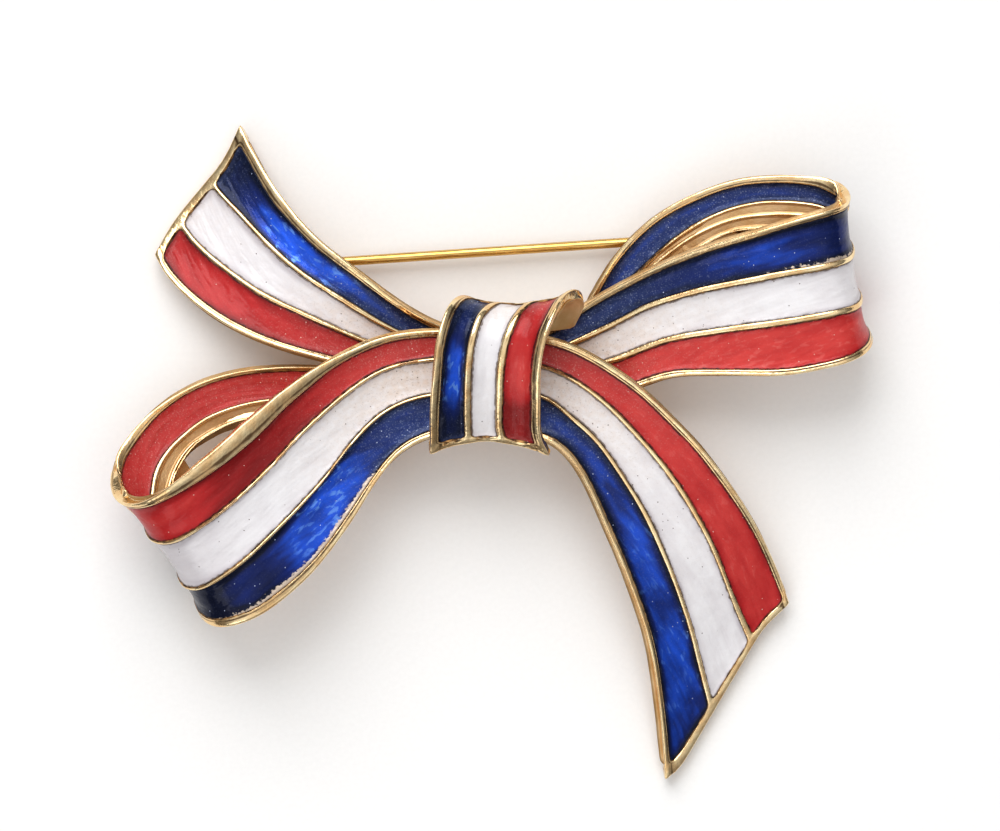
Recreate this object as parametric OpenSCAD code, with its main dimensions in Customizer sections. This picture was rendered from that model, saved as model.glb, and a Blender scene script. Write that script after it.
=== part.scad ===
/* [Bow] */
// width from the left loop's fold to the right loop's fold, mm
bow_w = 64; // [60:0.5:80]
// height from the left tail's tip to the right tail's tip, mm
bow_h = 55; // [52:0.5:70]
// depth from the side that rests on a table to the knot's crest, mm
bow_d = 14; // [13.6:0.1:17]

/* [Ribbons] */
// thickness of the cast ribbons, mm
ribbon_t = 1.05; // [1:0.05:1.3]
// thickness of the rear strips inside the loops, mm
strip_t = 1.0; // [0.9:0.05:1.2]
// width of the raised rims along the ribbons' edges, mm
rim_w = 0.55; // [0.4:0.05:0.8]
// width of the raised dividers between the stripes, mm
divider_w = 0.4; // [0.3:0.05:0.6]
// width of the closed rim across a ribbon's end, mm
end_rim = 0.7; // [0.5:0.05:0.8]
// how far the middle of a ribbon sinks below its edges, mm
cup = 0.35; // [0.1:0.05:0.6]

/* [Knot] */
// width of the raised rims at the knot's two sides, mm
knot_rim_w = 0.75; // [0.5:0.05:1]
// width of the knot's dividers, mm
knot_divider_w = 0.55; // [0.4:0.05:0.7]
// how far the middle of the knot sinks below its sides, mm
knot_cup = 0.9; // [0.6:0.05:1.2]

/* [Enamel] */
// depth of the cells that hold the enamel, mm
cell_depth = 0.55; // [0.5:0.01:0.6]
// how far the enamel stays below the rims, mm
enamel_drop = 0.18; // [0.1:0.02:0.25]
// depth of the cells on the rear strips, mm
strip_cell_depth = 0.42; // [0.38:0.01:0.46]
// clearance around each stripe of enamel, mm
enamel_gap = 0.05; // [0.03:0.01:0.08]

/* [Pin] */
// diameter of the pin's wire, mm
wire_d = 0.8; // [0.7:0.05:0.9]
// height of the wire's axis above the table, mm
wire_level = 1.3; // [1.25:0.05:1.4]
// length of the wire that keeps its full diameter, mm
wire_full = 28; // [24:0.5:30]
// length of the wire past the middle of the catch, mm
wire_past = 2.4; // [2:0.1:4]
// diameter of the eye that turns on the rivet, mm
eye_d = 1.5; // [1.4:0.05:1.6]
// width of the eye along the rivet, mm
eye_w = 0.9; // [0.7:0.05:1.1]
// diameter of the hinge's rivet, mm
rivet_d = 0.6; // [0.5:0.05:0.7]
// clearance in the hinge and under the bracket and the catch, mm
fit_gap = 0.06; // [0.04:0.01:0.08]
// thickness of the bracket's and the catch's sheet, mm
sheet_t = 0.4; // [0.35:0.05:0.45]
// length of the catch along the wire, mm
catch_l = 1.8; // [1.4:0.1:2.4]

/* [Hidden] */

$fn = 40;
shut = 0.03;
strip_drop = enamel_drop * 0.7;
strip_rim_w = rim_w * 0.75;
gold = [0.86, 0.70, 0.36];
red = [0.72, 0.10, 0.13];
white = [0.92, 0.91, 0.90];
blue = [0.08, 0.14, 0.55];

// Each row is one station across a ribbon. x is a share of bow_w, y of bow_h and z of bow_d.
// Columns: edge a x, y, z, edge b x, y, z, then the two dividers as shares of the way from a to b.
right_tail = [
    [0.391, -0.232, 0.112, 0.227, -0.498, 0.110, 0.27, 0.61],
    [0.377, -0.185, 0.179, 0.222, -0.418, 0.186, 0.31, 0.64],
    [0.355, -0.130, 0.279, 0.210, -0.315, 0.307, 0.33, 0.67],
    [0.324, -0.068, 0.379, 0.186, -0.220, 0.421, 0.33, 0.67],
    [0.281, -0.002, 0.464, 0.149, -0.118, 0.500, 0.33, 0.66],
    [0.229, 0.062, 0.514, 0.113, -0.030, 0.536, 0.36, 0.68],
    [0.167, 0.123, 0.543, 0.079, 0.012, 0.543, 0.34, 0.67],
    [0.089, 0.170, 0.543, 0.040, 0.024, 0.536, 0.29, 0.57]];
left_loop = [
    [-0.002, 0.183, 0.543, -0.018, 0.027, 0.529, 0.28, 0.59],
    [-0.087, 0.185, 0.557, -0.071, 0.023, 0.521, 0.28, 0.61],
    [-0.148, 0.173, 0.593, -0.115, 0.000, 0.521, 0.28, 0.61],
    [-0.208, 0.138, 0.671, -0.148, -0.044, 0.543, 0.29, 0.62],
    [-0.264, 0.088, 0.757, -0.184, -0.111, 0.586, 0.28, 0.63],
    [-0.318, 0.026, 0.829, -0.234, -0.186, 0.621, 0.28, 0.62],
    [-0.381, -0.029, 0.857, -0.291, -0.242, 0.621, 0.31, 0.65],
    [-0.429, -0.064, 0.821, -0.333, -0.264, 0.586, 0.33, 0.68],
    [-0.463, -0.079, 0.729, -0.361, -0.267, 0.500, 0.34, 0.71],
    [-0.488, -0.074, 0.600, -0.378, -0.255, 0.386, 0.35, 0.73],
    [-0.498, -0.052, 0.486, -0.385, -0.233, 0.257, 0.35, 0.73],
    [-0.497, -0.026, 0.393, -0.381, -0.212, 0.136, 0.35, 0.72],
    [-0.486, 0.000, 0.321, -0.368, -0.189, 0.050, 0.35, 0.70],
    [-0.469, 0.027, 0.279, -0.346, -0.167, 0.004, 0.35, 0.70],
    [-0.450, 0.053, 0.259, -0.327, -0.151, 0.004, 0.35, 0.70]];
left_tail = [
    [-0.330, 0.500, 0.112, -0.442, 0.300, 0.110, 0.40, 0.73],
    [-0.313, 0.461, 0.179, -0.426, 0.267, 0.164, 0.36, 0.71],
    [-0.278, 0.395, 0.264, -0.391, 0.227, 0.236, 0.32, 0.67],
    [-0.231, 0.330, 0.343, -0.342, 0.189, 0.314, 0.31, 0.63],
    [-0.175, 0.277, 0.386, -0.281, 0.159, 0.350, 0.31, 0.60],
    [-0.119, 0.227, 0.379, -0.215, 0.138, 0.364, 0.32, 0.60],
    [-0.064, 0.191, 0.350, -0.139, 0.112, 0.350, 0.33, 0.62]];
right_loop = [
    [-0.002, 0.174, 0.336, -0.028, 0.071, 0.336, 0.33, 0.64],
    [0.070, 0.185, 0.350, 0.083, 0.079, 0.329, 0.33, 0.66],
    [0.128, 0.229, 0.393, 0.165, 0.088, 0.350, 0.33, 0.66],
    [0.193, 0.270, 0.479, 0.235, 0.112, 0.414, 0.31, 0.65],
    [0.265, 0.306, 0.571, 0.304, 0.115, 0.486, 0.32, 0.65],
    [0.337, 0.332, 0.664, 0.378, 0.114, 0.543, 0.32, 0.64],
    [0.404, 0.355, 0.721, 0.443, 0.127, 0.571, 0.35, 0.66],
    [0.442, 0.367, 0.700, 0.476, 0.139, 0.536, 0.36, 0.67],
    [0.462, 0.376, 0.614, 0.493, 0.152, 0.443, 0.37, 0.69],
    [0.468, 0.388, 0.514, 0.499, 0.165, 0.329, 0.37, 0.70],
    [0.464, 0.402, 0.421, 0.497, 0.179, 0.207, 0.37, 0.70],
    [0.451, 0.414, 0.350, 0.485, 0.192, 0.107, 0.37, 0.70],
    [0.430, 0.421, 0.307, 0.465, 0.205, 0.036, 0.37, 0.70],
    [0.402, 0.424, 0.286, 0.438, 0.214, 0.004, 0.37, 0.70],
    [0.373, 0.423, 0.279, 0.410, 0.220, 0.004, 0.37, 0.70]];
// The rear strips' rows follow the face that looks into the loop.
left_strip = [
    [-0.471, -0.059, 0.579, -0.436, -0.108, 0.529, 0.80],
    [-0.480, -0.039, 0.514, -0.426, -0.073, 0.443, 0.80],
    [-0.480, -0.017, 0.457, -0.424, -0.036, 0.379, 0.80],
    [-0.472, 0.006, 0.407, -0.410, -0.002, 0.336, 0.80],
    [-0.460, 0.027, 0.379, -0.385, 0.026, 0.314, 0.80],
    [-0.439, 0.059, 0.364, -0.351, 0.050, 0.300, 0.80],
    [-0.398, 0.095, 0.343, -0.309, 0.064, 0.286, 0.80],
    [-0.343, 0.120, 0.314, -0.273, 0.068, 0.271, 0.80],
    [-0.282, 0.130, 0.286, -0.230, 0.068, 0.257, 0.80],
    [-0.217, 0.130, 0.257, -0.182, 0.061, 0.250, 0.80],
    [-0.145, 0.120, 0.250, -0.119, 0.048, 0.250, 0.80],
    [-0.067, 0.106, 0.257, -0.067, 0.038, 0.257, 0.80],
    [-0.015, 0.097, 0.257, -0.018, 0.033, 0.257, 0.80]];
right_strip = [
    [0.443, 0.374, 0.550, 0.454, 0.330, 0.479, 0.60],
    [0.446, 0.386, 0.493, 0.436, 0.345, 0.414, 0.60],
    [0.442, 0.397, 0.446, 0.412, 0.353, 0.379, 0.60],
    [0.425, 0.409, 0.404, 0.386, 0.356, 0.350, 0.60],
    [0.399, 0.415, 0.382, 0.355, 0.356, 0.336, 0.60],
    [0.367, 0.418, 0.368, 0.324, 0.352, 0.314, 0.62],
    [0.321, 0.414, 0.343, 0.292, 0.339, 0.296, 0.66],
    [0.274, 0.397, 0.314, 0.262, 0.321, 0.279, 0.70],
    [0.230, 0.373, 0.286, 0.232, 0.297, 0.261, 0.74],
    [0.191, 0.338, 0.261, 0.204, 0.268, 0.243, 0.78],
    [0.157, 0.292, 0.243, 0.170, 0.233, 0.229, 0.80],
    [0.126, 0.230, 0.236, 0.141, 0.185, 0.229, 0.80],
    [0.087, 0.176, 0.243, 0.109, 0.136, 0.243, 0.80],
    [0.031, 0.152, 0.257, 0.044, 0.102, 0.257, 0.80]];
// The knot's rows run from its free bottom edge over the crest and down behind.
knot = [
    [-0.080, -0.006, 0.657, 0.076, -0.008, 0.657, 0.34, 0.63],
    [-0.080, 0.027, 0.729, 0.064, 0.023, 0.729, 0.34, 0.63],
    [-0.079, 0.076, 0.836, 0.063, 0.073, 0.836, 0.34, 0.63],
    [-0.075, 0.127, 0.921, 0.064, 0.124, 0.921, 0.33, 0.63],
    [-0.070, 0.176, 0.950, 0.071, 0.173, 0.964, 0.33, 0.63],
    [-0.059, 0.217, 0.879, 0.085, 0.215, 0.914, 0.32, 0.63],
    [-0.046, 0.236, 0.757, 0.098, 0.241, 0.800, 0.32, 0.63],
    [-0.032, 0.236, 0.629, 0.114, 0.247, 0.671, 0.32, 0.63],
    [-0.019, 0.218, 0.529, 0.119, 0.230, 0.557, 0.32, 0.63],
    [-0.007, 0.188, 0.471, 0.105, 0.197, 0.486, 0.32, 0.63]];

front = concat(right_tail, left_loop);
back = concat(left_tail, right_loop);

// How far an end's outline leaves the straight line between its tips, as shares of the ribbon's width.
flat_end = [[0, 0], [1, 0]];
right_end = [[0, 0], [0.2, -0.042], [0.4, -0.006], [0.6, 0.022], [0.75, 0.045], [0.87, 0.058], [0.95, 0.05], [1, 0]];
left_end = [[0, 0], [0.2, -0.03], [0.33, -0.022], [0.5, 0.006], [0.7, 0.03], [0.85, 0.03], [1, 0]];
knot_end = [[0, 0], [0.15, -0.05], [0.5, -0.095], [0.85, -0.045], [1, 0]];

// A station is [row, length along the ribbon from there, weight of the end's outline, cell open].
function between(t, first, last) = [for (u = [first:1/2:last]) [u, 0, 0, 1]];
function end_group(u, way, w) = [[u, 0, w, 0], [u, way * end_rim, w, 0], [u, way * (end_rim + shut), w, 1]];
function turned(list) = [for (i = [len(list) - 1:-1:0]) list[i]];
function near_knot(u, way) = [[u, 0, 0, 0], [u, way * shut, 0, 1]];

front_cells_1 = concat(end_group(0, 1, 1), [[0.75, 0, 0.3, 1]], between(front, 1, 7), turned(near_knot(7.34, -1)));
front_cells_2 = concat(near_knot(8.66, 1), between(front, 9, 21), [[21.35, 0, 0, 1]], turned(end_group(22, -1, 0)));
back_cells_1 = concat(end_group(0, 1, 1), [[0.75, 0, 0.3, 1]], between(back, 1, 6), turned(near_knot(6.34, -1)));
back_cells_2 = concat(near_knot(7.66, 1), between(back, 8, 20), [[20.35, 0, 0, 1]], turned(end_group(21, -1, 0)));
knot_cells = concat(end_group(0, 1, 1), [[0.7, 0, 0.5, 1]], between(knot, 1, 6.5), turned(near_knot(6.8, -1)));
knot_rest = [[7.5, 0, 0, 0], [8, 0, 0, 0], [8.5, 0, 0, 0], [9, 0, 0, 0]];
left_strip_cells = concat([[0.2, 0, 0, 0]], near_knot(0.75, 1), between(left_strip, 1, 8.5), turned(near_knot(8.9, -1)));
left_strip_rest = [[9.5, 0, 0, 0], [10.5, 0, 0, 0], [12, 0, 0, 0]];
right_strip_cells = concat([[0.3, 0, 0, 0]], near_knot(0.6, 1), between(right_strip, 1, 10.5), turned(near_knot(10.9, -1)));
right_strip_rest = [[11.5, 0, 0, 0], [12, 0, 0, 0], [13, 0, 0, 0]];

// Point on the smooth curve through the rows; u counts rows.
function row_at(t, u) = let(n = len(t) - 1, i = max(0, min(floor(u), n - 1)), f = u - i,
    a = t[max(i - 1, 0)], b = t[i], c = t[i + 1], d = t[min(i + 2, n)])
    0.5 * (2 * b + (c - a) * f + (2 * a - 5 * b + 4 * c - d) * f * f + (3 * b - a - 3 * c + d) * f * f * f);
function edge(r, k) = [r[k] * bow_w, r[k + 1] * bow_h, r[k + 2] * bow_d];
function middle(r) = (edge(r, 0) + edge(r, 3)) / 2;
function unit(v) = v / norm(v);

// Frame of a station: edge a, direction across, direction out of the enamelled face, width, direction along.
function frame_at(t, s, side) = let(n = len(t) - 1, r = row_at(t, s[0]),
    a = edge(r, 0), w = edge(r, 3) - a,
    run = unit(middle(row_at(t, min(s[0] + 0.1, n))) - middle(row_at(t, max(s[0] - 0.1, 0)))))
    [a + run * s[1], unit(w), unit(cross(run, w)) * side, norm(w), run, r[6] * norm(w), (r[7] == undef ? 1 : r[7]) * norm(w)];

// Point at s across a station and h above its edges, with the cup and the end's outline.
function put(f, s, h, sink, bend, weight) = let(u = s / f[3])
    f[0] + f[1] * s + f[2] * (h - 4 * sink * u * (1 - u)) - f[4] * weight * f[3] * lookup(u, bend);

function ribbon_section(f, open, rim, div, t) = let(w = f[3], p = f[5], q = f[6], d = div / 2,
    c = -(open * (cell_depth - shut) + shut))
    [[0, -t], [0, 0], [rim, 0], [rim, c], [p - d, c], [p - d, 0], [p + d, 0], [p + d, c], [q - d, c], [q - d, 0],
    [q + d, 0], [q + d, c], [w - rim, c], [w - rim, 0], [w, 0], [w, -t], [w * 2 / 3, -t], [w / 3, -t]];
function strip_section(f, open, t, bare) = let(w = f[3], p = f[5], d = divider_w / 2, rim = strip_rim_w,
    c = -(open * (strip_cell_depth - shut) + shut), e = -(open * (bare - shut) + shut))
    [[0, -t], [0, 0], [rim, 0], [rim, c], [p - d, c], [p - d, 0], [p + d, 0], [p + d, e], [w - rim, e],
    [w - rim, 0], [w, 0], [w, -t], [w * 2 / 3, -t], [w / 3, -t]];

// Closed solid through equal sections; a cap is a fan round the two points under the middle.
// The closing side is split along its other diagonal, so the enamel's underside lies as its cell's floor does.
module loft(sections, side) {
    m = len(sections[0]);
    last = (len(sections) - 1) * m;
    cap = m > 4 ? concat([for (j = [0:m - 3]) j < m / 2 - 2 ? [m - 1, j, j + 1] : [m - 2, j, j + 1]],
        [[m - 1, ceil(m / 2 - 2), m - 2]]) : [[0, 1, 2], [0, 2, 3]];
    skin = [for (i = [0:len(sections) - 2]) for (j = [0:m - 1]) let(k = (j + 1) % m, a = i * m, b = a + m)
        each j < m - 1 ? [[a + j, a + k, b + k], [a + j, b + k, b + j]] : [[a + j, a + k, b + j], [a + k, b + k, b + j]]];
    faces = concat([for (c = cap) [c[2], c[1], c[0]]], [for (c = cap) c + [last, last, last]], skin);
    polyhedron([for (s = sections) each s], side > 0 ? faces : [for (c = faces) [c[2], c[1], c[0]]], 6);
}

module ribbon(t, stations, side, rim, div, thick, sink, bend) {
    loft([for (s = stations) let(f = frame_at(t, s, side))
        [for (p = ribbon_section(f, s[3], rim, div, thick)) put(f, p[0], p[1], sink, bend, s[2])]], side);
}

module strip(t, stations, side, bare) {
    loft([for (s = stations) let(f = frame_at(t, s, side))
        [for (p = strip_section(f, s[3], strip_t, bare)) put(f, p[0], p[1], 0, flat_end, 0)]], side);
}

// Sections of a stripe with its two ends drawn in by the clearance.
function drawn_in(a, b) = [for (j = [0:len(a) - 1]) a[j] + (b[j] - a[j]) * enamel_gap / norm(b[0] - a[0])];
function with_ends(list) = let(n = len(list) - 1)
    concat([drawn_in(list[0], list[1])], [for (i = [1:n - 1]) list[i]], [drawn_in(list[n], list[n - 1])]);

// Stripe of enamel number k of a ribbon, in its cell with the clearance all round.
module stripe(t, stations, side, k, rim, div, sink, bend) {
    loft(with_ends([for (s = stations) if (s[3] == 1) let(f = frame_at(t, s, side),
        lo = (k == 0 ? rim : f[4 + k] + div / 2) + enamel_gap,
        hi = (k == 2 ? f[3] - rim : f[5 + k] - div / 2) - enamel_gap)
        [for (p = [[lo, enamel_gap - cell_depth], [lo, -enamel_drop], [hi, -enamel_drop],
            [hi, enamel_gap - cell_depth]]) put(f, p[0], p[1], sink, bend, s[2])]]), side);
}

module strip_stripe(t, stations, side) {
    deep = enamel_gap - strip_cell_depth;
    loft(with_ends([for (s = stations) if (s[3] == 1) let(f = frame_at(t, s, side),
        lo = strip_rim_w + enamel_gap, hi = f[5] - divider_w / 2 - enamel_gap)
        [for (p = [[lo, deep], [lo, -strip_drop], [hi, -strip_drop], [hi, deep]])
            put(f, p[0], p[1], 0, flat_end, 0)]]), side);
}

// Pin line: from the hinge behind the left tail to the catch behind the right loop.
hinge_at = [-0.247 * bow_w, 0.286 * bow_h, wire_level];
catch_at = [0.317 * bow_w, 0.3305 * bow_h, wire_level];
pin_run = catch_at - hinge_at;
pin_turn = atan2(pin_run[1], pin_run[0]);
pin_l = norm(pin_run) + wire_past;
cheek_gap = fit_gap;
eye_room = 0.3;
base_z = eye_d / 2 + eye_room;
base_lip = 0.45;
hinge_base_l = 2.4;
hinge_base_x = 0.2;
hinge_base_w = eye_w + 2 * cheek_gap + 2 * sheet_t + 2 * base_lip;
slot_room = 0.2;
slot_w = wire_d + slot_room;
catch_w = slot_w + 2 * sheet_t;
pad_z = base_z + sheet_t + fit_gap;
catch_pad_l = 6;
catch_pad_w = 2.6;
bare_depth = 0.3;

module at_hinge() {
    translate(hinge_at) rotate([0, 0, pin_turn]) children();
}

module at_catch() {
    translate(catch_at) rotate([0, 0, pin_turn]) children();
}

module core() {
    low = 0.25 * bow_d;
    hull() {
        translate([-0.036 * bow_w, 0.045 * bow_h, low])
            cube([0.06 * bow_w, 0.145 * bow_h, 0.28 * bow_d]);
        translate([-0.03 * bow_w, 0.085 * bow_h, low])
            cube([0.05 * bow_w, 0.055 * bow_h, 0.47 * bow_d]);
    }
    translate([-0.012 * bow_w, 0.12 * bow_h, 0.4 * bow_d])
        cube([0.04 * bow_w, 0.085 * bow_h, 0.13 * bow_d]);
}

// The hinge's pad stands up from the bracket into the back of the left tail and follows its slope.
module hinge_pad() {
    inside = (cell_depth + ribbon_t) / 2;
    top = [for (q = [[2.6, 0.08], [2.6, 0.5], [3.6, 0.5], [3.6, 0.08]]) let(f = frame_at(back, [q[0], 0, 0, 1], -1))
        put(f, q[1] * f[3], -inside, cup, flat_end, 0)];
    low = [for (p = top) [p[0], p[1], wire_level + pad_z]];
    polyhedron(concat(low, top), [[0, 1, 2, 3], [7, 6, 5, 4], [4, 5, 1, 0], [5, 6, 2, 1], [6, 7, 3, 2], [7, 4, 0, 3]]);
}

module catch_pad() {
    tall = 0.265 * bow_d - wire_level - pad_z;
    at_catch() translate([-0.25 * catch_pad_l, -0.31 * catch_pad_w, pad_z])
        resize([catch_pad_l, catch_pad_w, tall]) cylinder(d = 1, h = 1);
}

module bow_frame() color(gold) resize([0, 0, 0]) union() {
    ribbon(front, concat(front_cells_1, front_cells_2), 1, rim_w, divider_w, ribbon_t, cup, right_end);
    ribbon(back, concat(back_cells_1, back_cells_2), -1, rim_w, divider_w, ribbon_t, cup, left_end);
    strip(left_strip, concat(left_strip_cells, left_strip_rest), -1, shut);
    strip(right_strip, concat(right_strip_cells, right_strip_rest), 1, bare_depth);
    ribbon(knot, concat(knot_cells, knot_rest), -1, knot_rim_w, knot_divider_w, ribbon_t, knot_cup, knot_end);
    core();
    hinge_pad();
    catch_pad();
}

module front_stripe(stations, k) stripe(front, stations, 1, k, rim_w, divider_w, cup, right_end);
module back_stripe(stations, k) stripe(back, stations, -1, k, rim_w, divider_w, cup, left_end);
module knot_stripe(k) stripe(knot, knot_cells, -1, k, knot_rim_w, knot_divider_w, knot_cup, knot_end);

module left_loop_red() color(red) front_stripe(front_cells_2, 0);
module left_loop_white() color(white) front_stripe(front_cells_2, 1);
module left_loop_blue() color(blue) front_stripe(front_cells_2, 2);
module left_loop_inner_red() color(red) strip_stripe(left_strip, left_strip_cells, -1);
module right_loop_blue() color(blue) back_stripe(back_cells_2, 0);
module right_loop_white() color(white) back_stripe(back_cells_2, 1);
module right_loop_red() color(red) back_stripe(back_cells_2, 2);
module right_loop_inner_blue() color(blue) strip_stripe(right_strip, right_strip_cells, 1);
module left_tail_blue() color(blue) back_stripe(back_cells_1, 0);
module left_tail_white() color(white) back_stripe(back_cells_1, 1);
module left_tail_red() color(red) back_stripe(back_cells_1, 2);
module right_tail_red() color(red) front_stripe(front_cells_1, 0);
module right_tail_white() color(white) front_stripe(front_cells_1, 1);
module right_tail_blue() color(blue) front_stripe(front_cells_1, 2);
module knot_blue() color(blue) knot_stripe(0);
module knot_white() color(white) knot_stripe(1);
module knot_red() color(red) knot_stripe(2);

module hinge_bracket() color(gold) at_hinge() {
    translate([hinge_base_x - hinge_base_l / 2, -hinge_base_w / 2, base_z])
        cube([hinge_base_l, hinge_base_w, sheet_t]);
    for (side = [-1, 1]) translate([0, side * (eye_w / 2 + cheek_gap + sheet_t / 2), 0]) difference() {
        union() {
            rotate([90, 0, 0]) cylinder(d = eye_d * 0.9, h = sheet_t, center = true);
            translate([-eye_d * 0.45, -sheet_t / 2, 0]) cube([eye_d * 0.9, sheet_t, base_z + sheet_t / 2]);
        }
        rotate([90, 0, 0]) cylinder(d = rivet_d + fit_gap, h = sheet_t * 2, center = true);
    }
}

module hinge_rivet() color(gold) at_hinge() rotate([90, 0, 0]) {
    body = eye_w + 2 * cheek_gap + 2 * sheet_t + 2 * fit_gap;
    cylinder(d = rivet_d, h = body + 0.1, center = true);
    for (side = [-1, 1]) translate([0, 0, side * (body / 2 + 0.1)])
        cylinder(d = rivet_d + 0.4, h = 0.2, center = true);
}

module pin_stem() color(gold) at_hinge() difference() {
    union() {
        rotate([90, 0, 0]) cylinder(d = eye_d, h = eye_w, center = true);
        rotate([90, 0, 90]) rotate_extrude() polygon([[0, eye_d * 0.3], [wire_d / 2, eye_d * 0.3],
            [wire_d / 2, wire_full], [wire_d * 0.36, pin_l - 2], [0.06, pin_l], [0, pin_l]]);
    }
    rotate([90, 0, 0]) cylinder(d = rivet_d + fit_gap, h = eye_w * 2, center = true);
}

module catch() color(gold) at_catch() difference() {
    translate([-catch_l / 2, -catch_w / 2, -wire_d * 0.8])
        cube([catch_l, catch_w, base_z + sheet_t + wire_d * 0.8]);
    translate([-catch_l, -slot_w / 2, -wire_d]) cube([2 * catch_l, slot_w, wire_d]);
    rotate([0, 90, 0]) cylinder(d = slot_w, h = 2 * catch_l, center = true);
}

bow_frame();
left_loop_red();
left_loop_white();
left_loop_blue();
left_loop_inner_red();
right_loop_blue();
right_loop_white();
right_loop_red();
right_loop_inner_blue();
left_tail_blue();
left_tail_white();
left_tail_red();
right_tail_red();
right_tail_white();
right_tail_blue();
knot_blue();
knot_white();
knot_red();
hinge_bracket();
hinge_rivet();
pin_stem();
catch();
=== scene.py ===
# A bow brooch: cast ribbons plated with gold, red, white and blue enamel in their cells, and a pin behind.
import math
import bpy
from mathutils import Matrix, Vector, noise


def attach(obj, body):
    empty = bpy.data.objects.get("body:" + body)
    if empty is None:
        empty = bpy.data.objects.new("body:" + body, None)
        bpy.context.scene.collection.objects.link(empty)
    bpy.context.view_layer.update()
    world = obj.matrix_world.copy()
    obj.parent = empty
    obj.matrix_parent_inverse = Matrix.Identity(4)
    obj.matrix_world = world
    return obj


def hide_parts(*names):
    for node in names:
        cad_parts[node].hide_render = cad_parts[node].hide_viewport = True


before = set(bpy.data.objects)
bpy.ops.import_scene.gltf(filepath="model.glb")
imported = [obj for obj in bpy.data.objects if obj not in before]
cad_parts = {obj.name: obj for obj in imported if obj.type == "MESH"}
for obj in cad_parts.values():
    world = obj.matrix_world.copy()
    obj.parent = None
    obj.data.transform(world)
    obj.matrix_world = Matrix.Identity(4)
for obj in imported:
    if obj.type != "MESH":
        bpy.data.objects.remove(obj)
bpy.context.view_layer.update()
print("frame loaded with", len(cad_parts), "nodes")

mm = 0.001
bow = {"width": 64 * mm, "height": 55 * mm, "depth": 14 * mm}

# Each row is one station across a ribbon, in shares of the bow's width, height and depth.
# Edge a x, y, z, edge b x, y, z, then the dividers as shares of the way from a to b.
rightTail = [
    [0.391, -0.232, 0.112, 0.227, -0.496, 0.110, 0.27, 0.61],
    [0.377, -0.185, 0.179, 0.222, -0.418, 0.186, 0.31, 0.64],
    [0.355, -0.130, 0.279, 0.210, -0.315, 0.307, 0.33, 0.67],
    [0.324, -0.068, 0.379, 0.186, -0.220, 0.421, 0.33, 0.67],
    [0.281, -0.002, 0.464, 0.149, -0.118, 0.500, 0.33, 0.66],
    [0.229, 0.062, 0.514, 0.113, -0.030, 0.536, 0.36, 0.68],
    [0.167, 0.123, 0.543, 0.079, 0.012, 0.543, 0.34, 0.67],
    [0.089, 0.170, 0.543, 0.040, 0.024, 0.536, 0.29, 0.57]]
leftLoop = [
    [-0.002, 0.183, 0.543, -0.018, 0.027, 0.529, 0.28, 0.59],
    [-0.087, 0.185, 0.557, -0.071, 0.023, 0.521, 0.28, 0.61],
    [-0.148, 0.173, 0.593, -0.115, 0.000, 0.521, 0.28, 0.61],
    [-0.208, 0.138, 0.671, -0.148, -0.044, 0.543, 0.29, 0.62],
    [-0.264, 0.088, 0.757, -0.184, -0.111, 0.586, 0.28, 0.63],
    [-0.318, 0.026, 0.829, -0.234, -0.186, 0.621, 0.28, 0.62],
    [-0.381, -0.029, 0.857, -0.291, -0.242, 0.621, 0.31, 0.65],
    [-0.429, -0.064, 0.821, -0.333, -0.264, 0.586, 0.33, 0.68],
    [-0.463, -0.079, 0.729, -0.361, -0.267, 0.500, 0.34, 0.71],
    [-0.488, -0.074, 0.600, -0.378, -0.255, 0.386, 0.35, 0.73],
    [-0.498, -0.052, 0.486, -0.385, -0.233, 0.257, 0.35, 0.73],
    [-0.497, -0.026, 0.393, -0.381, -0.212, 0.136, 0.35, 0.72],
    [-0.482, -0.003, 0.321, -0.368, -0.189, 0.050, 0.35, 0.70],
    [-0.460, 0.022, 0.279, -0.346, -0.167, 0.004, 0.35, 0.70],
    [-0.435, 0.045, 0.259, -0.327, -0.151, 0.004, 0.35, 0.70]]
leftTail = [
    [-0.330, 0.500, 0.112, -0.442, 0.300, 0.110, 0.40, 0.73],
    [-0.313, 0.461, 0.179, -0.426, 0.267, 0.164, 0.36, 0.71],
    [-0.278, 0.395, 0.264, -0.391, 0.227, 0.236, 0.32, 0.67],
    [-0.231, 0.330, 0.343, -0.342, 0.189, 0.314, 0.31, 0.63],
    [-0.175, 0.277, 0.386, -0.281, 0.159, 0.350, 0.31, 0.60],
    [-0.119, 0.227, 0.379, -0.215, 0.138, 0.364, 0.32, 0.60],
    [-0.064, 0.191, 0.350, -0.139, 0.112, 0.350, 0.33, 0.62]]
rightLoop = [
    [-0.002, 0.174, 0.336, -0.028, 0.071, 0.336, 0.33, 0.64],
    [0.070, 0.185, 0.350, 0.083, 0.079, 0.329, 0.33, 0.66],
    [0.128, 0.229, 0.393, 0.165, 0.088, 0.350, 0.33, 0.66],
    [0.193, 0.270, 0.479, 0.235, 0.112, 0.414, 0.31, 0.65],
    [0.265, 0.306, 0.571, 0.304, 0.115, 0.486, 0.32, 0.65],
    [0.337, 0.332, 0.664, 0.378, 0.114, 0.543, 0.32, 0.64],
    [0.404, 0.355, 0.721, 0.443, 0.127, 0.571, 0.35, 0.66],
    [0.442, 0.367, 0.700, 0.476, 0.139, 0.536, 0.36, 0.67],
    [0.462, 0.376, 0.614, 0.493, 0.152, 0.443, 0.37, 0.69],
    [0.468, 0.388, 0.514, 0.499, 0.165, 0.329, 0.37, 0.70],
    [0.464, 0.402, 0.421, 0.497, 0.179, 0.207, 0.37, 0.70],
    [0.451, 0.414, 0.350, 0.485, 0.192, 0.107, 0.37, 0.70],
    [0.430, 0.415, 0.307, 0.465, 0.205, 0.036, 0.37, 0.70],
    [0.402, 0.410, 0.262, 0.438, 0.214, 0.004, 0.37, 0.70],
    [0.373, 0.400, 0.230, 0.410, 0.220, 0.004, 0.37, 0.70]]
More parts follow.
